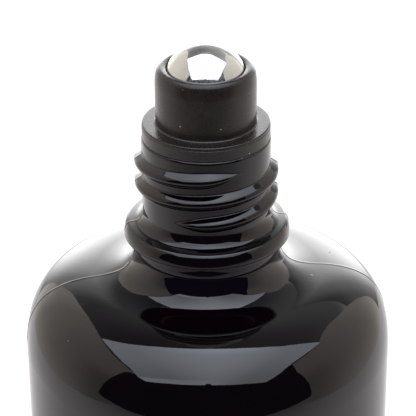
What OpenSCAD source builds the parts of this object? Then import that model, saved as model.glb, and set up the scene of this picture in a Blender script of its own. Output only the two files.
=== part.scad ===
// Roll on bottle: a dark glass bottle with a screw neck, and a push-in fitment that holds a steel ball.
// Heights run up from the table. Drops run down from the sealing land of the glass mouth.

/* [Glass body] */
// Height of the glass, from the table to the sealing land of the mouth
glass_h = 112; // [100:0.5:130]
// Outside diameter of the body
body_d = 47.1; // [43:0.1:56]
// Wall thickness of the body and the shoulder
wall = 2.8; // [1.6:0.1:3.2]
// Radius of the heel, between the wall and the base
heel_r = 4; // [2:0.25:6]
// Height of the hollow under the base
punt_h = 2.2; // [1:0.1:3.5]
// Width of the flat ring that the bottle stands on
bearing_w = 2; // [1:0.25:4]
// Thickness of the base in its middle
base_t = 5; // [3:0.25:7]
// Thickness of the base at its edge
base_edge_t = 4.6; // [3:0.2:7]
// Radius inside, between the floor and the wall
floor_r = 3.5; // [2:0.25:6]

/* [Shoulder] */
// Drop from the mouth to the top of the shoulder
shoulder_drop = 19.3; // [18.8:0.1:21]
// Diameter at the top of the shoulder
shoulder_top_d = 29; // [26:0.1:32]
// Height of the shoulder, from the straight wall to its top
shoulder_h = 11.7; // [10:0.1:18]
// Slope at the top of the shoulder, in degrees below level
shoulder_slope = 5.9; // [3:0.1:10]

/* [Neck] */
// Diameter of the neck between the threads
neck_d = 16.1; // [15.5:0.1:16.8]
// Diameter of the bore through the neck
bore_d = 10.6; // [9.6:0.1:11.6]
// Edge radius of the mouth, inside
mouth_r = 0.4; // [0.2:0.05:0.6]
// Edge radius of the mouth, outside
mouth_edge_r = 0.4; // [0.2:0.05:0.8]
// Diameter over the bead under the thread
bead_d = 21; // [19.6:0.1:22]
// Height of the bead
bead_h = 1.75; // [1.6:0.05:2.4]
// Edge radius at the bead's foot
bead_edge_r = 0.2; // [0.1:0.05:0.4]
// How far the bead's rounded section runs in towards the axis
bead_depth = 0.7; // [0.5:0.05:0.9]
// Slope of the bead's upper side, in degrees below level
bead_slope = 10; // [6:1:20]
// Radius of the fillet between the neck and the bead
bead_fillet_r = 1.65; // [0.8:0.05:2]
// Diameter of the waist under the bead
waist_d = 18.6; // [18.2:0.1:19.4]
// Height of the waist's straight wall, from the ring where the mould's parts met to the bead
waist_h = 1.85; // [1.5:0.05:2.1]
// Drop from the mouth to that ring
seam_drop = 15.3; // [15.1:0.05:15.6]
// How far the glass steps in under that ring
seam_step = 0.05; // [0.05:0.01:0.2]

/* [Screw thread] */
// Diameter over the thread
thread_d = 18; // [17.4:0.1:18.6]
// Rise of one turn
thread_pitch = 3; // [2.6:0.1:3.4]
// Number of turns
thread_turns = 2.2; // [1.5:0.02:2.3]
// Width of the ridge where it leaves the neck
thread_w = 2.4; // [1.8:0.1:2.6]
// Drop from the mouth to the middle of the ridge at its upper end
thread_drop = 2.1; // [1.9:0.025:2.6]
// Direction of the ridge's upper end, in degrees about the axis
thread_start = -52; // [-180:1:180]
// Turn over which each end of the ridge fades into the neck, in degrees
thread_fade = 36; // [10:1:60]

/* [Roller housing] */
// Diameter of the flange that rests on the mouth
flange_d = 16; // [15:0.1:17]
// Thickness of the flange
flange_t = 1.85; // [1.4:0.05:2.4]
// How much the flange's rim leans in towards its foot
flange_draft = 0.08; // [0.02:0.01:0.2]
// Edge radius of the flange
flange_edge_r = 0.25; // [0.1:0.05:0.4]
// Wall of the barrel around the ball
barrel_wall = 0.9; // [0.8:0.05:1.2]
// Fillet between the barrel and the flange
barrel_fillet_r = 0.25; // [0.1:0.05:0.4]
// Height of the opening's edge over the middle of the ball
lip_rise = 2.13; // [1.8:0.01:2.4]
// Height of the lip's crest over the opening's edge
crest_rise = 0.35; // [0.2:0.05:0.5]
// Distance from the barrel's side in to the crest
crest_inset = 0.75; // [0.6:0.05:0.9]
// Height over which the barrel's side rounds in to the crest
crown_h = 2.5; // [1.5:0.1:3]
// Web of the housing between the seat and the mouth
web_t = 0.6; // [0.4:0.05:0.8]
// Length of the plug under the flange
plug_l = 8.5; // [6.5:0.5:9.5]
// Wall of the plug
plug_wall = 1; // [0.7:0.05:1.2]
// Bevel at the plug's lower end
plug_bevel = 0.5; // [0.2:0.05:0.6]
// Number of sealing rings on the plug
ring_n = 3; // [1:1:3]
// Distance between sealing rings
ring_pitch = 2; // [1.6:0.1:2.2]
// Height of a sealing ring at its root
ring_h = 0.9; // [0.6:0.05:1.2]
// How far a sealing ring stands out of the plug
ring_rise = 0.12; // [0.06:0.01:0.2]

/* [Ball and seat] */
// Diameter of the ball
ball_d = 10.5; // [10.3:0.05:11]
// Height of the ball's middle over the flange
ball_rise = 5.02; // [4.8:0.02:5.6]
// Distance from the middle of the ball down to the top of its seat
seat_drop = 2.6; // [2:0.1:3.2]
// Diameter of the feed hole through the seat
feed_d = 5.2; // [4:0.1:6]
// Number of feed grooves in the seat
groove_n = 6; // [3:1:8]
// Width of a feed groove
groove_w = 0.9; // [0.5:0.1:1.2]
// Depth of a feed groove
groove_depth = 0.4; // [0.2:0.05:0.5]

/* [Fits] */
// Gap between a sealing ring and the bore
seal_gap = 0.03; // [0.02:0.01:0.06]
// Gap between the ball and the housing around it
socket_gap = 0.1; // [0.05:0.01:0.12]
// Gap between the ball and its seat
seat_gap = 0.05; // [0.03:0.01:0.08]
// Gap between the seat and the housing around it
seat_fit = 0.02; // [0.01:0.01:0.04]

/* [Hidden] */
$fn = 96;

// All cuts run this far past the solids that they cut
overrun = 1;

// Radii of the glass
body_r = body_d / 2;
neck_r = neck_d / 2;
bore_r = bore_d / 2;
waist_r = waist_d / 2;
shoulder_top_r = shoulder_top_d / 2;
bearing_out_r = body_r - heel_r;
bearing_in_r = bearing_out_r - bearing_w;

// Heights of the glass
shoulder_top_z = glass_h - shoulder_drop;
shoulder_z = shoulder_top_z - shoulder_h;
seam_z = glass_h - seam_drop;

// Shape of the shoulder's curve: where its handles end, as shares of its width and height
shoulder_reach_share = 1;
shoulder_lift_share = 0.425;
// The same for the curve that flares out from the waist
flare_reach_share = 0.45;
flare_lift_share = 0.845;
// Handles of the curves of the punt and the floor, as shares of their radius
punt_share = 0.55;
// Number of chords in the curves of an outline
long_n = 16;
short_n = 6;

// The bead's section is a quarter of an ellipse over a small edge radius, and its upper side runs straight
// on into a fillet
bead_r = bead_d / 2;
bead_mid_r = bead_r - bead_depth;
bead_mid_z = seam_z + waist_h + bead_edge_r;
bead_rise = bead_h - bead_edge_r;
// Angle on that ellipse where the straight upper side meets it
bead_top_a = atan(bead_rise / bead_depth / tan(bead_slope));

// The ridge of the thread is a half ellipse that starts inside the neck's wall
ridge_sink = 0.4;
ridge_top_r = thread_d / 2;
ridge_n = 8;
ridge_steps_per_turn = 36;

// Heights and radii of the fitment
flange_z = glass_h + flange_t;
ball_z = flange_z + ball_rise;
ball_r = ball_d / 2;
socket_r = ball_r + socket_gap;
barrel_r = socket_r + barrel_wall;
lip_z = ball_z + lip_rise;
lip_r = sqrt(socket_r * socket_r - lip_rise * lip_rise);
crest_z = lip_z + crest_rise;
crest_r = barrel_r - crest_inset;
crown_z = crest_z - crown_h;
socket_floor_z = glass_h + web_t;
ring_r = bore_r - seal_gap;
plug_r = ring_r - ring_rise;
channel_r = plug_r - plug_wall;
plug_z = glass_h - plug_l;
// The lowest sealing ring stands as far over the bevel as one ring is high
ring_z = plug_z + plug_bevel + ring_h * 1.5;
// Handles of the crown's curve, as shares of its height and its width
crown_lift_share = 0.5;
crown_reach_share = 0.15;

// Points along a cubic curve, from a to d
function curve(a, b, c, d, n) = [
    for (i = [0:n])
        let (t = i / n, s = 1 - t)
            s * s * s * a + 3 * s * s * t * b + 3 * s * t * t * c + t * t * t * d
];

// Points along an arc of an ellipse with half axes rx and rz
function arc(mid, rx, rz, from, to, n) = [
    for (i = [0:n])
        let (a = from + (to - from) * i / n)
            mid + [rx * cos(a), rz * sin(a)]
];

// The shoulder from its foot on the wall to its top, set in by an inset
function shoulder_top(inset) = [
    shoulder_top_r - inset * sin(shoulder_slope),
    shoulder_top_z - inset * cos(shoulder_slope)
];

function shoulder(inset) =
    let (
        top = shoulder_top(inset),
        foot = [body_r - inset, shoulder_z],
        run = (foot[0] - top[0]) * shoulder_reach_share,
        lift = (top[1] - foot[1]) * shoulder_lift_share
    )
        curve(foot, foot + [0, lift], top + [run, -run * tan(shoulder_slope)], top, long_n);

// The flare from the top of the shoulder up into a neck of radius r at height z
function flare(top, r, z) =
    let (
        run = (top[0] - r) * flare_reach_share,
        lift = (z - top[1]) * flare_lift_share
    )
        curve(top, top + [-run, run * tan(shoulder_slope)], [r, z - lift], [r, z], long_n);

// The hollow under the base, from the axis to the ring that the bottle stands on
function punt() = curve(
    [0, punt_h],
    [bearing_in_r * punt_share, punt_h],
    [bearing_in_r * punt_share, punt_h / 2],
    [bearing_in_r, 0],
    short_n
);

// The floor inside, from the axis to the foot of the wall
function floor_curve() =
    let (
        inside_r = body_r - wall,
        mid_z = punt_h + base_t,
        edge_r = inside_r - floor_r
    )
        concat(
            curve(
                [0, mid_z],
                [edge_r * punt_share, mid_z],
                [edge_r * punt_share, base_edge_t],
                [edge_r, base_edge_t],
                short_n
            ),
            arc([edge_r, base_edge_t + floor_r], floor_r, floor_r, -90, 0, short_n)
        );

// The bead, from the waist up to the top of its fillet against the neck
function bead() =
    let (
        top = [
            bead_mid_r + bead_depth * cos(bead_top_a),
            bead_mid_z + bead_rise * sin(bead_top_a)
        ],
        fillet_mid_r = neck_r + bead_fillet_r,
        fillet_foot_r = fillet_mid_r - bead_fillet_r * sin(bead_slope),
        fillet_foot_z = top[1] + (top[0] - fillet_foot_r) * tan(bead_slope),
        fillet_mid = [fillet_mid_r, fillet_foot_z + bead_fillet_r * cos(bead_slope)]
    )
        concat(
            arc([bead_r - bead_edge_r, bead_mid_z], bead_edge_r, bead_edge_r, -90, 0, short_n),
            arc([bead_mid_r, bead_mid_z], bead_depth, bead_rise, 0, bead_top_a, long_n),
            arc(fillet_mid, bead_fillet_r, bead_fillet_r, 270 - bead_slope, 180, short_n)
        );

// Outside of the glass, without its thread
function glass_outline() = concat(
    punt(),
    arc([bearing_out_r, heel_r], heel_r, heel_r, -90, 0, short_n),
    shoulder(0),
    flare(shoulder_top(0), waist_r - seam_step, seam_z),
    [[waist_r, seam_z], [waist_r, seam_z + waist_h]],
    bead(),
    arc([neck_r - mouth_edge_r, glass_h - mouth_edge_r], mouth_edge_r, mouth_edge_r, 0, 90, short_n),
    [[0, glass_h]]
);

// Inside of the glass, open at the mouth
function hollow_outline() = concat(
    floor_curve(),
    shoulder(wall),
    flare(shoulder_top(wall), bore_r, seam_z),
    arc([bore_r + mouth_r, glass_h - mouth_r], mouth_r, mouth_r, 180, 90, short_n),
    [[bore_r + mouth_r, glass_h + overrun], [0, glass_h + overrun]]
);

// Share of its full height that the ridge has after a turn, in degrees from its upper end
function ridge_share(turn) = sin(90 * min(1, turn / thread_fade, (thread_turns * 360 - turn) / thread_fade));

// Places on the ridge: one section for each step down the thread
function ridge_points() =
    let (steps = ceil(thread_turns * ridge_steps_per_turn), base_r = neck_r - ridge_sink)
        [
            for (i = [0:steps])
                let (
                    turn = thread_turns * 360 * i / steps,
                    top_r = base_r + (ridge_top_r - base_r) * ridge_share(turn),
                    z = glass_h - thread_drop - thread_pitch * turn / 360
                )
                    for (k = [0:ridge_n])
                        let (
                            a = -90 + 180 * k / ridge_n,
                            r = base_r - ridge_sink / 2 + (top_r - base_r + ridge_sink / 2) * cos(a)
                        )
                            [
                                r * cos(thread_start - turn),
                                r * sin(thread_start - turn),
                                z + thread_w / 2 * sin(a)
                            ]
        ];

// A ridge that winds down the neck as a right-hand thread
module screw_thread() {
    steps = ceil(thread_turns * ridge_steps_per_turn);
    row = ridge_n + 1;
    skin = [
        for (i = [0:steps - 1])
            for (k = [0:ridge_n])
                let (
                    a = i * row + k,
                    b = i * row + (k + 1) % row
                )
                    for (face = [[a, a + row, b + row], [a, b + row, b]])
                        face
    ];
    ends = [
        for (k = [1:ridge_n - 1])
            for (face = [[0, k, k + 1], [steps * row, steps * row + k + 1, steps * row + k]])
                face
    ];
    polyhedron(points = ridge_points(), faces = concat(skin, ends));
}

module bottle() {
    color([0.07, 0.05, 0.09])
        difference() {
            union() {
                rotate_extrude()
                    polygon(glass_outline());
                screw_thread();
            }
            rotate_extrude()
                polygon(hollow_outline());
        }
}

// One sealing ring, going up the plug's side
function ring_outline(z) = [
    [plug_r, z - ring_h / 2],
    [ring_r, z - ring_h / 4],
    [ring_r, z + ring_h / 4],
    [plug_r, z + ring_h / 2]
];

// Outside of the housing, with the dished lip around the opening
function housing_outline() = concat(
    [[0, plug_z], [plug_r - plug_bevel, plug_z], [plug_r, plug_z + plug_bevel]],
    [for (i = [0:ring_n - 1]) for (p = ring_outline(ring_z + ring_pitch * i)) p],
    [[plug_r, glass_h], [flange_d / 2 - flange_draft, glass_h]],
    arc(
        [flange_d / 2 - flange_edge_r, flange_z - flange_edge_r],
        flange_edge_r, flange_edge_r, 0, 90, short_n
    ),
    arc(
        [barrel_r + barrel_fillet_r, flange_z + barrel_fillet_r],
        barrel_fillet_r, barrel_fillet_r, 270, 180, short_n
    ),
    curve(
        [barrel_r, crown_z],
        [barrel_r, crown_z + crown_h * crown_lift_share],
        [crest_r + crest_inset * crown_reach_share, crest_z],
        [crest_r, crest_z],
        long_n
    ),
    [[lip_r, lip_z], [0, lip_z]]
);

module roller_housing() {
    color([0.13, 0.12, 0.12])
        difference() {
            rotate_extrude()
                polygon(housing_outline());
            translate([0, 0, ball_z])
                sphere(r = socket_r);
            translate([0, 0, socket_floor_z])
                cylinder(r = socket_r, h = ball_z - socket_floor_z);
            translate([0, 0, plug_z - overrun])
                cylinder(r = channel_r, h = ball_z - plug_z + overrun);
        }
}

module ball_seat() {
    seat_h = ball_z - seat_drop - socket_floor_z;
    color([0.9, 0.9, 0.87])
        difference() {
            translate([0, 0, socket_floor_z])
                cylinder(r = socket_r - seat_fit, h = seat_h);
            translate([0, 0, ball_z])
                sphere(r = ball_r + seat_gap);
            translate([0, 0, socket_floor_z - overrun])
                cylinder(d = feed_d, h = seat_h);
            for (i = [0:groove_n - 1])
                rotate([0, 0, 360 * i / groove_n])
                    feed_groove();
        }
}

// A groove along the seat's rounded face, from the feed hole up to the seat's top
module feed_groove() {
    intersection() {
        translate([0, 0, ball_z])
            sphere(r = ball_r + seat_gap + groove_depth);
        translate([0, -groove_w / 2, socket_floor_z])
            cube([socket_r, groove_w, ball_z - socket_floor_z]);
    }
}

module roller_ball() {
    color([0.8, 0.8, 0.8])
        translate([0, 0, ball_z])
            sphere(d = ball_d);
}

bottle();
roller_housing();
ball_seat();
roller_ball();
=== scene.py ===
import math

import bmesh
import bpy
import numpy as np
from mathutils import Matrix, Vector

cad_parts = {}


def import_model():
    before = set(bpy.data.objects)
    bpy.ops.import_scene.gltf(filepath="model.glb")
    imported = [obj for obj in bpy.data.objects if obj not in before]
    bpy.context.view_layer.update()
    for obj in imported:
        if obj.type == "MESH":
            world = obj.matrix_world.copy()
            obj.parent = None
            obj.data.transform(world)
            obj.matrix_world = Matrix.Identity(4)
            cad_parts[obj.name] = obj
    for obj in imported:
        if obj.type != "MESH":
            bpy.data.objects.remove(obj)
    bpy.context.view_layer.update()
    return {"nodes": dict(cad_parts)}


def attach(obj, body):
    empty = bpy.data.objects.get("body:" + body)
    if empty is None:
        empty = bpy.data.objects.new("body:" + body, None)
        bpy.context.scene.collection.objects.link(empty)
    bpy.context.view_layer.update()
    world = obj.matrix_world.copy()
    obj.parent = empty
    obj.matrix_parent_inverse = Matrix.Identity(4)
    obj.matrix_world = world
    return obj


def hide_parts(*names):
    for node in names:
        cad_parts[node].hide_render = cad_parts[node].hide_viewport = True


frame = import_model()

MM = 0.001

# Sizes in millimetres. The main ones are those of the CAD source. Some roundings, the waist and the
# thread's ends differ from it by a few tenths at most, to follow the photograph.

# Glass body and base
GLASS_H = 112.0
BODY_R = 23.55
BODY_INSET = 0.016
WALL = 2.8
HEEL_R = 4.0
PUNT_H = 2.2
BEARING_W = 2.0
BEARING_OUT_R = BODY_R - HEEL_R
BEARING_IN_R = BEARING_OUT_R - BEARING_W
BASE_T = 5.0
BASE_EDGE_T = 4.6
FLOOR_R = 3.5
DOME_SHARE = 0.55
NOTCHES = 66
NOTCH_H = 0.1

# Shoulder and flare up to the waist
SHOULDER_TOP_R = 14.5
SHOULDER_TOP_Z = GLASS_H - 19.3
SHOULDER_Z = SHOULDER_TOP_Z - 11.7
SHOULDER_SLOPE = math.radians(5.9)
SHOULDER_LIFT = 0.425
FLARE_REACH = 0.664
FLARE_LIFT = 0.715

# Neck, with the ring where the mould's parts met and the bead above it
NECK_R = 8.05
BORE_R = 5.3
MOUTH_R = 0.4
MOUTH_EDGE_R = 0.34
SEAM_Z = GLASS_H - 15.3
SEAM_R = 9.29
WAIST_R = 9.3
WAIST_LEAN = math.radians(4.5)
BEAD_R = 10.5
BEAD_FOOT_Z = SEAM_Z + 1.85
BEAD_EDGE_R = 0.2
BEAD_DEPTH = 0.68
BEAD_RISE = 1.60
BEAD_SLOPE = math.radians(8)
BEAD_FILLET = (1.31, 1.68)

# Screw thread. A side is its crest's radius, its root's radius and its steepness in degrees.
THREAD_DEPTH = 0.95
THREAD_PITCH = 3.0
THREAD_TURNS = 2.17
THREAD_DROP = 2.155
THREAD_START = -58.5
THREAD_FADE = 36.0
THREAD_END_LIFT = 0.16
THREAD_END_TURN = 40
UPPER_SIDE = (0.6, 0.2, 55)
LOWER_SIDE = (0.7, 0.3, 53)

# Lines left by the two halves of the body mould, which met a little off the sides
MOULD_LINES = np.radians([5.7, 185.7])
MOULD_LINE_H = 0.06
MOULD_LINE_W = 0.15
NECK_LINE_SHARE = 0.7

# Unevenness of the glass
SLOW_WAVE = 0.004
FINE_WAVE = 0.0016
NECK_WAVE_SHARE = 0.6

# Fitment and ball
FLANGE_R = 8.0
FLANGE_Z = GLASS_H + 1.85
FLANGE_DRAFT = 0.08
FLANGE_EDGE_R = 0.16
FLANGE_TOP_INSET = 0.21
BARREL_FILLET_R = 0.25
BALL_R = 5.25
BALL_Z = FLANGE_Z + 5.02
BALL_UNEVEN = 0.0006
SOCKET_R = BALL_R + 0.1
BARREL_R = SOCKET_R + 0.9
LIP_RISE = 2.13
LIP_Z = BALL_Z + LIP_RISE
LIP_R = math.sqrt(SOCKET_R ** 2 - LIP_RISE ** 2)
LIP_EDGE_H = 0.3
CREST_Z = LIP_Z + 0.18
CREST_R = BARREL_R - 0.85
CROWN_Z = CREST_Z - 2.1
SOCKET_FLOOR_Z = GLASS_H + 0.6
PLUG_R = 5.15
PLUG_Z = GLASS_H - 8.5
PLUG_BEVEL = 0.5
PLUG_EDGE_R = 0.1
CHANNEL_R = PLUG_R - 1.0
RINGS = 3
RING_RISE = 0.12
RING_H = 0.9
RING_PITCH = 2.0
RING_Z = PLUG_Z + PLUG_BEVEL + RING_H * 1.5

# Steps round the axis
GLASS_STEPS = 264
HOUSING_STEPS = 216


# Outlines as points (radius, height)

def cubic(a, b, c, d, n):
    t = np.linspace(0.0, 1.0, n + 1)[:, None]
    a, b, c, d = (np.array(p, float) for p in (a, b, c, d))
    return (1 - t) ** 3 * a + 3 * (1 - t) ** 2 * t * b + 3 * (1 - t) * t * t * c + t ** 3 * d


def arc(mid, rx, rz, start, end, n):
    t = np.radians(np.linspace(start, end, n + 1))
    return np.stack([mid[0] + rx * np.cos(t), mid[1] + rz * np.sin(t)], 1)


def line(a, b, step):
    n = max(1, round(math.dist(a, b) / step))
    t = np.linspace(0.0, 1.0, n + 1)[:, None]
    return (1 - t) * np.array(a, float) + t * np.array(b, float)


def join(*parts):
    """One outline from several that follow each other, with no point twice."""
    points = []
    for part in parts:
        for p in np.atleast_2d(np.array(part, float)):
            if not points or math.dist(p, points[-1]) > 1e-5:
                points.append(p)
    return np.array(points)


def rounded(corners, n=5):
    """An outline through corners (r, z, radius), each rounded by its own radius."""
    out = []
    for i, (r, z, radius) in enumerate(corners):
        p = np.array([r, z])
        if radius == 0 or i in (0, len(corners) - 1):
            out.append(p)
            continue
        before = np.array(corners[i - 1][:2]) - p
        after = np.array(corners[i + 1][:2]) - p
        lb, la = np.linalg.norm(before), np.linalg.norm(after)
        turn = math.acos(np.clip(before @ after / (lb * la), -1, 1))
        cut = min(radius / math.tan(turn / 2), 0.49 * lb, 0.49 * la)
        a, b = p + before / lb * cut, p + after / la * cut
        t = np.linspace(0.0, 1.0, n + 1)[:, None]
        out.extend((1 - t) ** 2 * a + 2 * (1 - t) * t * p + t * t * b)
    return np.array(out)


def shoulder_top(inset):
    r = SHOULDER_TOP_R - inset * math.sin(SHOULDER_SLOPE)
    return np.array([r, SHOULDER_TOP_Z - inset * math.cos(SHOULDER_SLOPE)])


def shoulder(inset, n):
    top, foot = shoulder_top(inset), np.array([BODY_R - inset, SHOULDER_Z])
    run, lift = foot[0] - top[0], (top[1] - foot[1]) * SHOULDER_LIFT
    return cubic(foot, foot + [0, lift], top + [run, -run * math.tan(SHOULDER_SLOPE)], top, n)


def flare(top, r, z, lean, n):
    """From the shoulder's top in and up to the neck at (r, z), where it leans by an angle."""
    run, lift = (top[0] - r) * FLARE_REACH, (z - top[1]) * FLARE_LIFT
    out_of_top = top + [-run, run * math.tan(SHOULDER_SLOPE)]
    return cubic(top, out_of_top, [r + lift * math.tan(lean), z - lift], [r, z], n)


def waist():
    """The ring where the mould's parts met, and the waist from it up to the bead."""
    ring_top = [WAIST_R + 0.01, SEAM_Z + 0.5]
    ring = rounded([(SEAM_R, SEAM_Z - 0.03, 0), (WAIST_R + 0.045, SEAM_Z, 0.008), (*ring_top, 0)])
    bend, top_r = [WAIST_R - 0.03, SEAM_Z + 0.9], WAIST_R - 0.055
    return join(ring, cubic(ring_top, bend, [top_r, SEAM_Z + 1.4], [top_r, BEAD_FOOT_Z], 12))


def bead():
    """The bead, from its foot up to the top of its fillet against the neck."""
    mid = [BEAD_R - BEAD_DEPTH, BEAD_FOOT_Z + BEAD_EDGE_R]
    top_a = math.atan(BEAD_RISE / BEAD_DEPTH / math.tan(BEAD_SLOPE))
    top = [mid[0] + BEAD_DEPTH * math.cos(top_a), mid[1] + BEAD_RISE * math.sin(top_a)]
    rx, rz = BEAD_FILLET
    end_a = math.atan(rz / rx / math.tan(BEAD_SLOPE))
    foot_r = NECK_R + rx * (1 - math.cos(end_a))
    foot_z = top[1] + (top[0] - foot_r) * math.tan(BEAD_SLOPE)
    return join(
        arc([BEAD_R - BEAD_EDGE_R, mid[1]], BEAD_EDGE_R, BEAD_EDGE_R, -90, 0, 8),
        arc(mid, BEAD_DEPTH, BEAD_RISE, 0, math.degrees(top_a), 44),
        line(top, [foot_r, foot_z], 0.08),
        arc([NECK_R + rx, foot_z + rz * math.sin(end_a)], rx, rz, 180 + math.degrees(end_a), 180, 26),
    )


def glass_outside(ring):
    """From the middle of the base, under and round the body, up to the mouth. ring is the bead."""
    edge_z = GLASS_H - MOUTH_EDGE_R
    dome_r = BEARING_IN_R * DOME_SHARE
    return join(
        cubic([0, PUNT_H], [dome_r, PUNT_H], [dome_r, PUNT_H / 2], [BEARING_IN_R, 0], 20),
        line([BEARING_IN_R, 0], [BEARING_OUT_R, 0], 0.35),
        arc([BEARING_OUT_R, HEEL_R], HEEL_R, HEEL_R, -90, 0, 14),
        line([BODY_R, HEEL_R], [BODY_R, SHOULDER_Z], 2.6),
        shoulder(0, 84),
        flare(shoulder_top(0), SEAM_R, SEAM_Z - 0.03, WAIST_LEAN, 44),
        waist(),
        ring,
        line([NECK_R, ring[-1][1]], [NECK_R, edge_z], 0.05),
        arc([NECK_R - MOUTH_EDGE_R, edge_z], MOUTH_EDGE_R, MOUTH_EDGE_R, 0, 90, 14),
    )


def glass_inside():
    """From the mouth down the bore and the wall, and in to the middle of the floor."""
    floor_edge = BODY_R - WALL - FLOOR_R
    dome_r, dome_z = floor_edge * DOME_SHARE, PUNT_H + BASE_T
    return join(
        arc([BORE_R + MOUTH_R, GLASS_H - MOUTH_R], MOUTH_R, MOUTH_R, 90, 180, 8),
        line([BORE_R, GLASS_H - MOUTH_R], [BORE_R, SEAM_Z], 1.5),
        flare(shoulder_top(WALL), BORE_R, SEAM_Z, 0.0, 14)[::-1],
        shoulder(WALL, 28)[::-1],
        line([BODY_R - WALL, SHOULDER_Z], [BODY_R - WALL, BASE_EDGE_T + FLOOR_R], 7),
        arc([floor_edge, BASE_EDGE_T + FLOOR_R], FLOOR_R, FLOOR_R, 0, -90, 8),
        cubic([floor_edge, BASE_EDGE_T], [dome_r, BASE_EDGE_T], [dome_r, dome_z], [0, dome_z], 12),
    )


def plug():
    """From the channel round the plug's end and up its sealing rings to the flange's rim."""
    corners = [
        (CHANNEL_R, PLUG_Z + 1.0, 0),
        (CHANNEL_R, PLUG_Z, 0.12),
        (PLUG_R - PLUG_BEVEL, PLUG_Z, 0.2),
        (PLUG_R, PLUG_Z + PLUG_BEVEL, 0.2),
    ]
    for i in range(RINGS):
        z = RING_Z + RING_PITCH * i
        corners += [
            (PLUG_R, z - RING_H / 2, PLUG_EDGE_R),
            (PLUG_R + RING_RISE, z - RING_H / 4, PLUG_EDGE_R),
            (PLUG_R + RING_RISE, z + RING_H / 4, PLUG_EDGE_R),
            (PLUG_R, z + RING_H / 2, PLUG_EDGE_R),
        ]
    corners += [
        (PLUG_R, GLASS_H, PLUG_EDGE_R),
        (FLANGE_R - 0.3 * FLANGE_DRAFT, GLASS_H, PLUG_EDGE_R),
        (FLANGE_R - 0.03, FLANGE_Z - 0.60, 0),
    ]
    return rounded(corners)


def flange():
    """The flange's rim, with the moulding's parting line under its top edge, and its upper side."""
    rim = rounded([
        (FLANGE_R - 0.03, FLANGE_Z - 0.60, 0),
        (FLANGE_R - 0.012, FLANGE_Z - 0.46, 0.02),
        (FLANGE_R - 0.055, FLANGE_Z - 0.41, 0.02),
        (FLANGE_R - 0.05, FLANGE_Z - 0.2, 0),
    ], 4)
    edge_r, fillet_r = FLANGE_R - FLANGE_TOP_INSET, BARREL_R + BARREL_FILLET_R
    return join(
        rim,
        arc([edge_r, FLANGE_Z - FLANGE_EDGE_R], FLANGE_EDGE_R, FLANGE_EDGE_R, 0, 90, 8),
        line([edge_r, FLANGE_Z], [fillet_r, FLANGE_Z], 0.25),
        arc([fillet_r, FLANGE_Z + BARREL_FILLET_R], BARREL_FILLET_R, BARREL_FILLET_R, 270, 180, 8),
    )


def lip():
    """The barrel's side rounds in to the crest, and the crest falls to the opening's edge."""
    bend, crest = [BARREL_R - 0.27, CREST_Z - 0.37], [CREST_R, CREST_Z]
    edge = [LIP_R + 0.05, LIP_Z + 0.1]
    return join(
        cubic([BARREL_R, CROWN_Z], [BARREL_R, CROWN_Z + 0.85], [BARREL_R - 0.15, CREST_Z - 0.57], bend, 24),
        cubic(bend, [BARREL_R - 0.39, CREST_Z - 0.17], [CREST_R + 0.28, CREST_Z], crest, 24),
        cubic(crest, [CREST_R - 0.15, CREST_Z], [LIP_R + 0.15, LIP_Z + 0.14], edge, 10),
        rounded([(*edge, 0), (LIP_R, LIP_Z + 0.06, 0.05), (LIP_R + 0.13, LIP_Z - LIP_EDGE_H, 0)], 6),
    )


def socket():
    """The ball's socket under the lip, and the step in to the plug's channel."""
    lip_angle = math.degrees(math.asin((LIP_Z - LIP_EDGE_H - BALL_Z) / SOCKET_R))
    return join(
        arc([0, BALL_Z], SOCKET_R, SOCKET_R, lip_angle, 0, 12),
        rounded([
            (SOCKET_R, BALL_Z - 0.5, 0),
            (SOCKET_R, SOCKET_FLOOR_Z, 0.1),
            (CHANNEL_R, SOCKET_FLOOR_Z, 0.1),
            (CHANNEL_R, SOCKET_FLOOR_Z - 1, 0),
        ]),
    )


# Meshes

def make(name, verts, faces, material, body, node):
    """One piece of the object: it rides on its body and replaces the node's solid."""
    mesh = bpy.data.meshes.new(name)
    mesh.from_pydata((np.asarray(verts, float) * MM).tolist(), [], faces)
    mesh.validate()
    mesh.polygons.foreach_set("use_smooth", [True] * len(mesh.polygons))
    mesh.materials.append(material)
    obj = bpy.data.objects.new(name, mesh)
    bpy.context.scene.collection.objects.link(obj)
    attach(obj, body)
    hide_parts(node)


def turned(radius, height, angles, closed):
    """Vertices and faces of a surface of rows by angles.

    A row of no radius is one point, and a closed surface joins its last row to its first.
    """
    rows, count = radius.shape
    c, s = np.cos(angles), np.sin(angles)
    single = [radius[i].max() < 1e-6 for i in range(rows)]
    verts, first = [], []
    for i in range(rows):
        first.append(len(verts))
        if single[i]:
            verts.append((0.0, 0.0, height[i, 0]))
        else:
            verts.extend(np.stack([radius[i] * c, radius[i] * s, height[i]], 1).tolist())
    faces = []
    for i in range(rows if closed else rows - 1):
        j = (i + 1) % rows
        a, b = first[i], first[j]
        for k in range(count):
            m = (k + 1) % count
            if single[i]:
                faces.append((a, b + m, b + k))
            elif single[j]:
                faces.append((a + k, a + m, b))
            else:
                faces.append((a + k, a + m, b + m, b + k))
    return verts, faces


def grid(outline, angles):
    """Radius and height of each point of an outline at each angle."""
    ones = np.ones(len(angles))
    return outline[:, :1] * ones, outline[:, 1:] * ones


def line_distance(angles):
    """Angle from each place to the nearer of the mould's two lines."""
    gap = np.abs((angles[:, None] - MOULD_LINES[None] + math.pi) % (2 * math.pi) - math.pi)
    return gap.min(1)


def glass_angles():
    """Even steps round the axis, with finer ones at the mould's lines."""
    even = np.arange(GLASS_STEPS) * 2 * math.pi / GLASS_STEPS
    even = even[line_distance(even) > math.radians(1.6)]
    fine = np.radians([0.12, 0.25, 0.4, 0.6, 0.9, 1.3])
    offsets = np.concatenate([-fine[::-1], [0.0], fine])
    return np.sort(np.concatenate([even] + [a + offsets for a in MOULD_LINES]))


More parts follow.
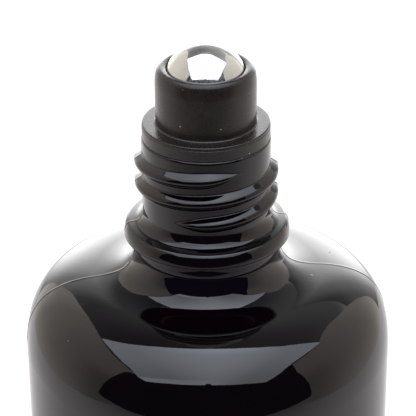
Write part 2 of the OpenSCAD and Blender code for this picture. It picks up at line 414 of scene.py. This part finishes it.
def ridge_side(crest_r, root_r, steep):
    """One side of the thread's ridge, from the neck to the crest, as distance and height.

    It has a root fillet, a straight flank and a rounded crest. steep is the angle of the
    flank's normal, in degrees above level.
    """
    a = math.radians(steep)
    cos, sin = 1 - math.cos(a), math.sin(a)
    flank = (THREAD_DEPTH - (crest_r + root_r) * cos) / sin
    foot = (crest_r + root_r) * sin + flank * math.cos(a)
    t = np.linspace(0.0, a, 9)
    root = np.stack([foot - root_r * np.sin(t), root_r * (1 - np.cos(t))], 1)
    top = t[::-1]
    crest = np.stack([crest_r * np.sin(top), THREAD_DEPTH - crest_r * (1 - np.cos(top))], 1)
    return np.vstack([root, crest])


def thread_height(angles, heights):
    """How far the screw thread stands out of the neck, for each height and angle."""
    above, below = ridge_side(*UPPER_SIDE)[::-1], ridge_side(*LOWER_SIDE)[::-1]
    theta = np.degrees(angles)[None, :]
    z = heights[:, None]
    out = np.zeros((len(heights), len(angles)))
    length = THREAD_TURNS * 360
    for k in range(math.ceil(THREAD_TURNS) + 1):
        turn = (THREAD_START - theta) % 360 + 360 * k
        near_end = np.clip(np.minimum(turn, length - turn), 0, None)
        share = np.maximum(np.sin(np.radians(90 * np.minimum(near_end / THREAD_FADE, 1))), 1e-3)
        lift = THREAD_END_LIFT * np.clip(1 - turn / THREAD_END_TURN, 0, 1) ** 2
        middle = GLASS_H - THREAD_DROP - THREAD_PITCH * turn / 360 + lift
        offset = (z - middle) / share
        upper = np.interp(offset, above[:, 0], above[:, 1])
        lower = np.interp(-offset, below[:, 0], below[:, 1])
        height = np.where(offset > 0, upper, lower)
        out = np.maximum(out, np.where(turn <= length, height * share, 0.0))
    return out


def waves(angles, heights, seed, count, around, along):
    """Slow unevenness of moulded glass: a sum of waves, the same each run.

    around is the range of waves in a turn, along that of the wavelengths up the wall.
    """
    rng = np.random.default_rng(seed)
    out = np.zeros((len(heights), len(angles)))
    for _ in range(count):
        n = rng.integers(*around)
        m = 2 * math.pi / rng.uniform(*along) * rng.choice([-1, 1])
        out += np.sin(n * angles[None] + m * heights[:, None] + rng.uniform(0, 2 * math.pi))
    return out / math.sqrt(count)


def glass_bottle(material):
    ring = bead()
    neck_z = ring[-1][1]
    outside = glass_outside(ring)
    outline = join(outside, glass_inside())
    angles = glass_angles()
    radius, height = grid(outline, angles)
    r, z = outline[:, 0], outline[:, 1]
    out = np.arange(len(outline)) < len(outside)

    neck = out & (z > neck_z - 1e-6) & (np.abs(r - NECK_R) < 1e-6)
    radius[neck] += thread_height(angles, z[neck])

    # The glass is less uneven on the small neck than on the body
    share = np.where(out, np.clip(r / BODY_R, 0, 1), 0) * np.clip((z - 2.0) / 6.0, 0, 1)
    share[neck] *= NECK_WAVE_SHARE
    radius += share[:, None] * SLOW_WAVE * waves(angles, z, 11, 9, (5, 14), (9.0, 20.0))
    radius += share[:, None] * FINE_WAVE * waves(angles, z, 12, 14, (22, 46), (3.0, 6.0))

    # The lines of the body mould, and the finer ones of the neck's mould
    away = line_distance(angles)[None] * np.maximum(r, 1.0)[:, None]
    rise = MOULD_LINE_H * np.exp(-((away / MOULD_LINE_W) ** 2))
    on_body = out & (z > 1.0) & (z < SEAM_Z - 0.05)
    radius += np.where(on_body[:, None], rise, 0.0)
    on_neck = out & (z >= SEAM_Z - 0.05) & (z < GLASS_H - MOUTH_R)
    radius += np.where(on_neck[:, None], rise * NECK_LINE_SHARE, 0.0)

    # Small notches in the ring that the bottle stands on
    bearing = (r - (BEARING_IN_R + BEARING_OUT_R) / 2) / 0.9
    foot = np.where(out, np.exp(-(bearing ** 2)), 0.0) * (z < 1.0)
    height += foot[:, None] * NOTCH_H * (0.5 - 0.5 * np.cos(NOTCHES * angles))[None]

    # Nothing stands out of the sizes of the CAD model
    above_seam = np.where(z < neck_z, BEAD_R, NECK_R + THREAD_DEPTH)
    most = np.where(out, np.where(z < SEAM_Z, BODY_R - BODY_INSET, above_seam), np.inf)
    radius = np.minimum(radius, most[:, None])
    verts, faces = turned(radius, height, angles, False)
    make("glass_bottle", verts, faces, material, "glass", "bottle")


def housing(material):
    outline = join(
        plug(),
        flange(),
        line([BARREL_R, FLANGE_Z + BARREL_FILLET_R], [BARREL_R, CROWN_Z], 0.5),
        lip(),
        socket(),
    )
    angles = np.arange(HOUSING_STEPS) * 2 * math.pi / HOUSING_STEPS
    radius, height = grid(outline, angles)
    verts, faces = turned(radius, height, angles, True)
    make("roller_fitment", verts, faces, material, "fitment", "roller_housing")


def ball(material):
    bm = bmesh.new()
    bmesh.ops.create_icosphere(bm, subdivisions=6, radius=BALL_R)
    # The tiny out-of-roundness that a rolled ball has
    for v in bm.verts:
        d = v.co.normalized()
        uneven = 1 + math.sin(5 * d.x + 1.3) * math.sin(4 * d.y) * math.cos(6 * d.z)
        v.co = d * (BALL_R - BALL_UNEVEN * uneven)
    verts = [(v.co.x, v.co.y, v.co.z + BALL_Z) for v in bm.verts]
    faces = [[v.index for v in f.verts] for f in bm.faces]
    bm.free()
    make("steel_ball", verts, faces, material, "ball", "roller_ball")


# Parts of materials

def add(tree, kind, inputs=None, **settings):
    """A node, with its settings and with its inputs set to values or linked to sockets."""
    node = tree.nodes.new(kind)
    for key, value in settings.items():
        setattr(node, key, value)
    for key, value in (inputs or {}).items():
        if isinstance(value, bpy.types.NodeSocket):
            tree.links.new(value, node.inputs[key])
        else:
            node.inputs[key].default_value = value
    return node


def new_material(name):
    m = bpy.data.materials.new(name)
    m.use_nodes = True
    m.node_tree.nodes.clear()
    out = m.node_tree.nodes.new("ShaderNodeOutputMaterial")
    return m, m.node_tree, out


def object_place(tree):
    return add(tree, "ShaderNodeTexCoord").outputs["Object"]


def noise(tree, where, scale, detail, rough=0.5):
    inputs = {"Vector": where, "Scale": scale, "Detail": detail, "Roughness": rough}
    return add(tree, "ShaderNodeTexNoise", inputs).outputs["Fac"]


def ramp(tree, value, low, high, to_low=0.0, to_high=1.0):
    """Eases from to_low to to_high while the value goes from low to high."""
    inputs = {"Value": value, "From Min": low, "From Max": high, "To Min": to_low, "To Max": to_high}
    return add(tree, "ShaderNodeMapRange", inputs, interpolation_type="SMOOTHSTEP").outputs["Result"]


def times(tree, a, b):
    return add(tree, "ShaderNodeMath", {0: a, 1: b}, operation="MULTIPLY").outputs[0]


def plus(tree, a, b, clamp=False):
    return add(tree, "ShaderNodeMath", {0: a, 1: b}, operation="ADD", use_clamp=clamp).outputs[0]


def mix_colour(tree, factor, a, b):
    node = add(tree, "ShaderNodeMix", {"Factor": factor}, data_type="RGBA")
    for key, value in (("A", a), ("B", b)):
        end = [s for s in node.inputs if s.name == key and s.type == "RGBA"][0]
        if isinstance(value, bpy.types.NodeSocket):
            tree.links.new(value, end)
        else:
            end.default_value = (*value, 1.0)
    return [s for s in node.outputs if s.type == "RGBA"][0]


def cloudy(tree, cloud, dark, light):
    """A colour that wanders between two with a cloud of noise."""
    return mix_colour(tree, ramp(tree, cloud, 0.3, 0.7), dark, light)


def dust(tree, where, scale, size, kept):
    """Specks of dust: small spots in some of the cells of a grid of random points."""
    inputs = {"Vector": where, "Scale": scale, "Randomness": 1.0}
    cells = add(tree, "ShaderNodeTexVoronoi", inputs, feature="F1")
    spot = ramp(tree, cells.outputs["Distance"], size * 0.6, size, 1.0, 0.0)
    chosen = add(tree, "ShaderNodeSeparateColor", {"Color": cells.outputs["Color"]}).outputs["Red"]
    keep = add(tree, "ShaderNodeMath", {0: chosen, 1: kept}, operation="LESS_THAN").outputs[0]
    return times(tree, spot, keep)


def relief(tree, height, distance, under=None):
    """The normal of fine relief, of a height in metres, on top of another's normal."""
    inputs = {"Strength": 1.0, "Distance": distance, "Height": height}
    if under is not None:
        inputs["Normal"] = under
    return add(tree, "ShaderNodeBump", inputs).outputs["Normal"]


def principled(tree, out, inputs):
    shader = add(tree, "ShaderNodeBsdfPrincipled", inputs)
    tree.links.new(shader.outputs["BSDF"], out.inputs["Surface"])


# Materials of the object

def glass_material():
    m, t, out = new_material("violet_glass")
    where = object_place(t)
    speck = dust(t, where, 330.0, 0.05, 0.42)
    cloud = noise(t, where, 60.0, 3.0, 0.6)
    tint = cloudy(t, cloud, (0.0015, 0.0006, 0.0013), (0.0020, 0.0008, 0.0021))
    # Painted light: a brighter violet tint at the waist stands in for the light that the thinner glass
    # there lets through
    height = add(t, "ShaderNodeSeparateXYZ", {"Vector": where}).outputs["Z"]
    painted_waist_light = times(t, ramp(t, height, 0.0925, 0.0960), ramp(t, height, 0.0975, 0.0985, 1.0, 0.0))
    tint = mix_colour(t, painted_waist_light, tint, (0.0026, 0.0009, 0.0052))
    colour = mix_colour(t, speck, tint, (0.30, 0.29, 0.28))
    smear = noise(t, where, 140.0, 5.0, 0.65)
    rough = plus(t, ramp(t, smear, 0.35, 0.75, 0.018, 0.05), times(t, speck, 0.6))
    ripple = relief(t, noise(t, where, 620.0, 2.0, 0.55), 0.0000032)
    grit = relief(t, speck, 0.00004, ripple)
    principled(t, out, {"Base Color": colour, "Roughness": rough, "IOR": 1.52, "Normal": grit})
    return m


def plastic_material():
    m, t, out = new_material("black_plastic")
    where = object_place(t)
    speck = dust(t, where, 620.0, 0.075, 0.3)
    cloud = noise(t, where, 350.0, 4.0, 0.6)
    grain = noise(t, where, 5200.0, 3.0, 0.6)
    tint = cloudy(t, cloud, (0.0112, 0.0078, 0.0074), (0.0160, 0.0120, 0.0113))
    colour = mix_colour(t, speck, tint, (0.28, 0.27, 0.26))
    rough = plus(t, ramp(t, grain, 0.3, 0.75, 0.21, 0.33), times(t, cloud, 0.06))
    fine = relief(t, grain, 0.0000035)
    coarse = relief(t, noise(t, where, 1500.0, 2.0), 0.000006, fine)
    principled(t, out, {"Base Color": colour, "Roughness": rough, "IOR": 1.49, "Normal": coarse})
    return m


def steel_material():
    m, t, out = new_material("polished_steel")
    where = object_place(t)
    inputs = {"Vector": where, "Rotation": (0.6, 0.35, 0.9), "Scale": (1.0, 1.0, 14.0)}
    drawn_out = add(t, "ShaderNodeMapping", inputs).outputs["Vector"]
    hairs = noise(t, drawn_out, 1400.0, 5.0, 0.7)
    film = noise(t, where, 260.0, 3.0, 0.55)
    colour = cloudy(t, film, (0.60, 0.60, 0.58), (0.65, 0.65, 0.63))
    # Fine pits that scatter some of the light, more of them in places
    pits = plus(t, noise(t, where, 40000.0, 1.0), times(t, film, 0.12))
    matt = ramp(t, pits, 0.63, 0.68, 0.0, 0.32)
    rough = plus(t, plus(t, ramp(t, hairs, 0.45, 0.8, 0.025, 0.09), times(t, film, 0.02)), matt)
    scratches = relief(t, hairs, 0.0000004)
    principled(t, out, {"Base Color": colour, "Metallic": 1.0, "Roughness": rough, "Normal": scratches})
    return m


def seat_material():
    m, t, out = new_material("natural_plastic")
    where = object_place(t)
    cloud = noise(t, where, 420.0, 3.0, 0.55)
    grain = noise(t, where, 4200.0, 3.0, 0.6)
    colour = cloudy(t, cloud, (0.70, 0.69, 0.63), (0.80, 0.79, 0.74))
    rough = ramp(t, grain, 0.3, 0.7, 0.36, 0.50)
    principled(t, out, {"Base Color": colour, "Roughness": rough, "IOR": 1.50,
                        "Normal": relief(t, grain, 0.000004)})
    return m


# The studio is a light tent, in millimetres: a lamp panel above, a side panel left and right, a
# backdrop and a floor sheet. Only reflections see them. Their edges are a little uneven, as the
# edges of the reflections in the photograph are.

TENT_X = 240
TENT_BACK = 384
LAMP_Z = 343
LAMP_CORNERS = [
    (-12, -324), (-8, -299), (6, -299), (10, -326), (262, -345), (255, -240), (248, -190), (233, -140),
    (226, -80), (230, -20), (240, 56), (106, 53), (39, 69), (0, 74), (-46, 74), (-112, 73),
    (-150, 83), (-178, 94), (-190, 22), (-207, -48), (-222, -130), (-242, -180), (-266, -240), (-274, -315),
]

# Side panels: the top edge as (y, x), and the front and back edges as (height, y)
PANEL_TOP = 345
PANEL_STEPS = 12
LEFT_TOP = [
    (-236, 246), (-165, 246), (-130, 232), (-48, 217), (22, 202), (97, 181), (174, 165), (250, 166),
    (320, 184), (384, 206),
]
LEFT_FRONT = [
    (0, -200), (8, -170), (20, -146), (30, -123), (43, -111), (73, -121), (103, -125), (146, -135),
    (204, -144), (250, -148), (298, -154), (320, -165), (PANEL_TOP, -200),
]
LEFT_BACK = [(0, TENT_BACK), (PANEL_TOP, TENT_BACK)]
RIGHT_TOP = [
    (-236, 246), (-80, 238), (-20, 242), (50, 243), (83, 215), (130, 202), (162, 201), (244, 212),
    (384, 225),
]
RIGHT_FRONT = [
    (0, -211), (6, -189), (19, -163), (28, -137), (49, -136), (77, -140), (103, -139), (142, -144),
    (184, -144), (249, -146), (294, -129), (320, -120), (PANEL_TOP, -110),
]
RIGHT_BACK = [(0, 270), (250, 270), (294, 259), (320, 224), (PANEL_TOP, 172)]

BACK_LEFT = -TENT_X - 60
BACK_RIGHT = TENT_X + 110
BACK_TOP = 410
FLOOR_CORNERS = [
    (-TENT_X, -188), (-191, -196), (-120, -222), (0, -236), (120, -236), (183, -223), (TENT_X, -205),
    (TENT_X, TENT_BACK), (-TENT_X, TENT_BACK),
]


def card(name, corners, material, faces=None):
    """A sheet that only reflections see: one polygon, or the faces given."""
    mesh = bpy.data.meshes.new(name)
    mesh.from_pydata([Vector(c) * MM for c in corners], [], faces or [tuple(range(len(corners)))])
    mesh.materials.append(material)
    obj = bpy.data.objects.new(name, mesh)
    bpy.context.scene.collection.objects.link(obj)
    obj.visible_camera = obj.visible_diffuse = obj.visible_shadow = False


def glow(name, colour, level):
    """A light. level gives its strength, as a socket, from the tree and the place in metres."""
    m, t, out = new_material(name)
    position = add(t, "ShaderNodeNewGeometry").outputs["Position"]
    place = add(t, "ShaderNodeSeparateXYZ", {"Vector": position})
    strength = level(t, *(place.outputs[k] for k in "XYZ"))
    shader = add(t, "ShaderNodeEmission", {"Color": (*colour, 1.0), "Strength": strength})
    t.links.new(shader.outputs["Emission"], out.inputs["Surface"])
    return m


def off_middle(t, x, middle):
    return add(t, "ShaderNodeMath", {0: plus(t, x, -middle)}, operation="ABSOLUTE").outputs[0]


def lamp_level(t, x, y, z):
    """Brighter in the middle and toward the back, with a bright spot behind and one left in front."""
    across = ramp(t, off_middle(t, x, 0.015), 0.0, 0.14, 1.35, 0.92)
    panel = times(t, across, ramp(t, y, -0.26, 0.03, 1.85, 2.55))
    behind = times(t, ramp(t, y, 0.01, 0.07), ramp(t, off_middle(t, x, 0.02), 0.0, 0.09, 0.9, 0.0))
    front = times(t, ramp(t, y, -0.245, -0.225, 1.0, 0.0), ramp(t, x, -0.16, 0.06, 0.95, 0.0))
    return plus(t, plus(t, panel, behind), front)


def lamp_card():
    glow_material = glow("soft_box_glow", (0.93, 0.99, 1.09), lamp_level)
    card("soft_box_card", [(x, y, LAMP_Z) for x, y in LAMP_CORNERS], glow_material)


def side_glow(name, low_front, back_lift):
    """A side panel's light: low_front is added low in front, back_lift is a ramp by y at the back."""
    def level(t, x, y, z):
        front = times(t, ramp(t, y, -0.13, 0.02, low_front, 0.0), ramp(t, z, 0.12, 0.26, 1.0, 0.0))
        back = times(t, ramp(t, y, *back_lift), ramp(t, z, 0.16, 0.24, 1.0, 0.4))
        return plus(t, plus(t, ramp(t, y, -0.1, 0.2, 0.78, 1.0), front), back)
    return glow(name, (1.0, 0.93, 0.86), level)


def side_panel(name, sign, top, front, back, material):
    """A panel between its front and back edges that leans in toward its top edge."""
    corners = []
    for z, front_y in front:
        back_y = float(np.interp(z, *zip(*back)))
        lean = (z / PANEL_TOP) ** 4
        for k in range(PANEL_STEPS + 1):
            y = front_y + (back_y - front_y) * k / PANEL_STEPS
            x = float(np.interp(y, *zip(*top)))
            corners.append((sign * (TENT_X + (x - TENT_X) * lean), y, z))
    row = PANEL_STEPS + 1
    faces = []
    for i in range(len(front) - 1):
        for k in range(PANEL_STEPS):
            a = i * row + k
            faces.append((a, a + 1, a + 1 + row, a + row))
    card(name, corners, material, faces)


def side_cards():
    left = side_glow("left_glow", -0.36, (0.2, 0.34, 0.0, 0.7))
    side_panel("left_card", -1, LEFT_TOP, LEFT_FRONT, LEFT_BACK, left)
    right = side_glow("right_glow", -0.28, (0.14, 0.26, 0.0, 0.45))
    side_panel("right_card", 1, RIGHT_TOP, RIGHT_FRONT, RIGHT_BACK, right)


def back_level(t, x, y, z):
    """A bright round spot behind the bottle with a paler one round it, darker low down and on top."""
    spot_place = (0.02, 0.0, 0.11)
    place = add(t, "ShaderNodeCombineXYZ", {"X": x, "Z": z}).outputs[0]
    distance = add(t, "ShaderNodeVectorMath", {0: place, 1: spot_place}, operation="DISTANCE")
    away = distance.outputs["Value"]
    spot = plus(t, ramp(t, away, 0.13, 0.26, 4.3, 0.0), ramp(t, away, 0.23, 0.34, 1.25, 0.6))
    fall = ramp(t, z, 0.31, 0.41, 1.0, 0.5)
    rise = ramp(t, z, -0.02, 0.19, 0.58, 1.0)
    return times(t, times(t, spot, fall), rise)


def back_card():
    corners = [(BACK_LEFT, 0), (BACK_RIGHT, 0), (BACK_RIGHT, BACK_TOP), (BACK_LEFT, BACK_TOP)]
    glow_material = glow("back_glow", (1.0, 1.0, 1.0), back_level)
    card("back_card", [(x, TENT_BACK, z) for x, z in corners], glow_material)


def floor_level(t, x, y, z):
    return plus(t, ramp(t, y, -0.24, 0.0, 0.38, 0.93), ramp(t, y, 0.0, 0.25, 0.0, 0.35))


def floor_card():
    glow_material = glow("floor_glow", (1.0, 0.97, 0.97), floor_level)
    card("floor_card", [(x, y, 0.05) for x, y in FLOOR_CORNERS], glow_material)


def floor():
    """A pale floor that keeps the object's shadow and is lifted toward white where it is seen."""
    m, t, out = new_material("floor_white")
    shade_noise = noise(t, object_place(t), 9.0, 2.0)
    colour = mix_colour(t, shade_noise, (0.79, 0.79, 0.79), (0.81, 0.81, 0.81))
    shade = add(t, "ShaderNodeBsdfDiffuse", {"Color": colour})
    seen = add(t, "ShaderNodeLightPath").outputs
    first = plus(t, seen["Is Camera Ray"], seen["Is Glossy Ray"])
    lift = times(t, plus(t, first, seen["Is Transmission Ray"], True), 0.46)
    light = add(t, "ShaderNodeEmission", {"Color": (1.0, 1.0, 1.0, 1.0), "Strength": lift})
    both = add(t, "ShaderNodeAddShader")
    t.links.new(shade.outputs["BSDF"], both.inputs[0])
    t.links.new(light.outputs["Emission"], both.inputs[1])
    t.links.new(both.outputs["Shader"], out.inputs["Surface"])
    mesh = bpy.data.meshes.new("floor")
    side = 6.0
    corners = [(-side, -side, 0), (side, -side, 0), (side, side, 0), (-side, side, 0)]
    mesh.from_pydata(corners, [], [(0, 1, 2, 3)])
    mesh.materials.append(m)
    obj = bpy.data.objects.new("floor", mesh)
    bpy.context.scene.collection.objects.link(obj)
    obj.visible_glossy = False


def world():
    """White for the camera, a plain grey light on the object, and a room for reflections."""
    w = bpy.data.worlds.new("studio")
    bpy.context.scene.world = w
    w.use_nodes = True
    t = w.node_tree
    t.nodes.clear()
    seen = add(t, "ShaderNodeLightPath").outputs
    direction = add(t, "ShaderNodeTexCoord").outputs["Generated"]
    way = add(t, "ShaderNodeSeparateXYZ", {"Vector": direction}).outputs
    # Seen in reflections, the room behind the tent darkens from the backdrop's top edge upward
    wall = times(t, ramp(t, way["X"], -0.3, 0.3, 0.23, 0.44), ramp(t, way["Z"], 0.62, 0.88, 1.0, 0.45))
    behind = plus(t, ramp(t, way["Z"], 0.50, 0.62, 0.95, 0.0), wall)
    room = plus(t, times(t, behind, ramp(t, way["Y"], -0.02, 0.18)), 0.03)
    plain = (0.72, 0.72, 0.72)
    soft = mix_colour(t, seen["Is Glossy Ray"], plain, room)
    colour = mix_colour(t, seen["Is Camera Ray"], soft, (1.0, 1.0, 1.0))
    back = add(t, "ShaderNodeBackground", {"Color": colour, "Strength": 1.0})
    out = add(t, "ShaderNodeOutputWorld")
    t.links.new(back.outputs["Background"], out.inputs["Surface"])


def lamp():
    """The lamp that lights the object from above. Reflections see the lamp's card in its place."""
    data = bpy.data.lights.new("soft_box", "AREA")
    data.shape = "RECTANGLE"
    data.size, data.size_y = 0.44, 0.38
    data.energy = math.pi * data.size * data.size_y * 0.9
    data.color = (0.97, 0.99, 1.0)
    obj = bpy.data.objects.new("soft_box", data)
    bpy.context.scene.collection.objects.link(obj)
    obj.location = (0.0, -0.13, LAMP_Z * MM)
    obj.visible_glossy = False


def camera():
    """Where the photograph was taken from, worked out from the ellipses of the flange, mouth and lip."""
    down, roll = math.radians(27.793), math.radians(0.46)
    aim, distance = Vector((0.000158, 0, 0.10168)), 0.241885
    focal_pixels, image_width, sensor_width = 1915.5, 416, 36.0
    ahead = Vector((0, math.cos(down), -math.sin(down)))
    up = Vector((0, math.sin(down), math.cos(down)))
    right = Vector((1, 0, 0))
    up_rolled = up * math.cos(roll) + right * math.sin(roll)
    right_rolled = right * math.cos(roll) - up * math.sin(roll)
    data = bpy.data.cameras.new("camera")
    data.sensor_width = sensor_width
    data.lens = focal_pixels * sensor_width / image_width
    data.clip_start, data.clip_end = 0.01, 20
    obj = bpy.data.objects.new("camera", data)
    bpy.context.scene.collection.objects.link(obj)
    turn = Matrix((right_rolled, up_rolled, -ahead)).transposed().to_4x4()
    turn.translation = aim - ahead * distance
    obj.matrix_world = turn
    bpy.context.scene.camera = obj


# The object, then the studio

glass_bottle(glass_material())
housing(plastic_material())
ball(steel_material())
for material_slot in frame["nodes"]["ball_seat"].material_slots:
    material_slot.material = seat_material()

lamp_card()
side_cards()
back_card()
floor_card()
floor()
world()
lamp()
camera()
bpy.context.scene.view_settings.view_transform = "Standard"
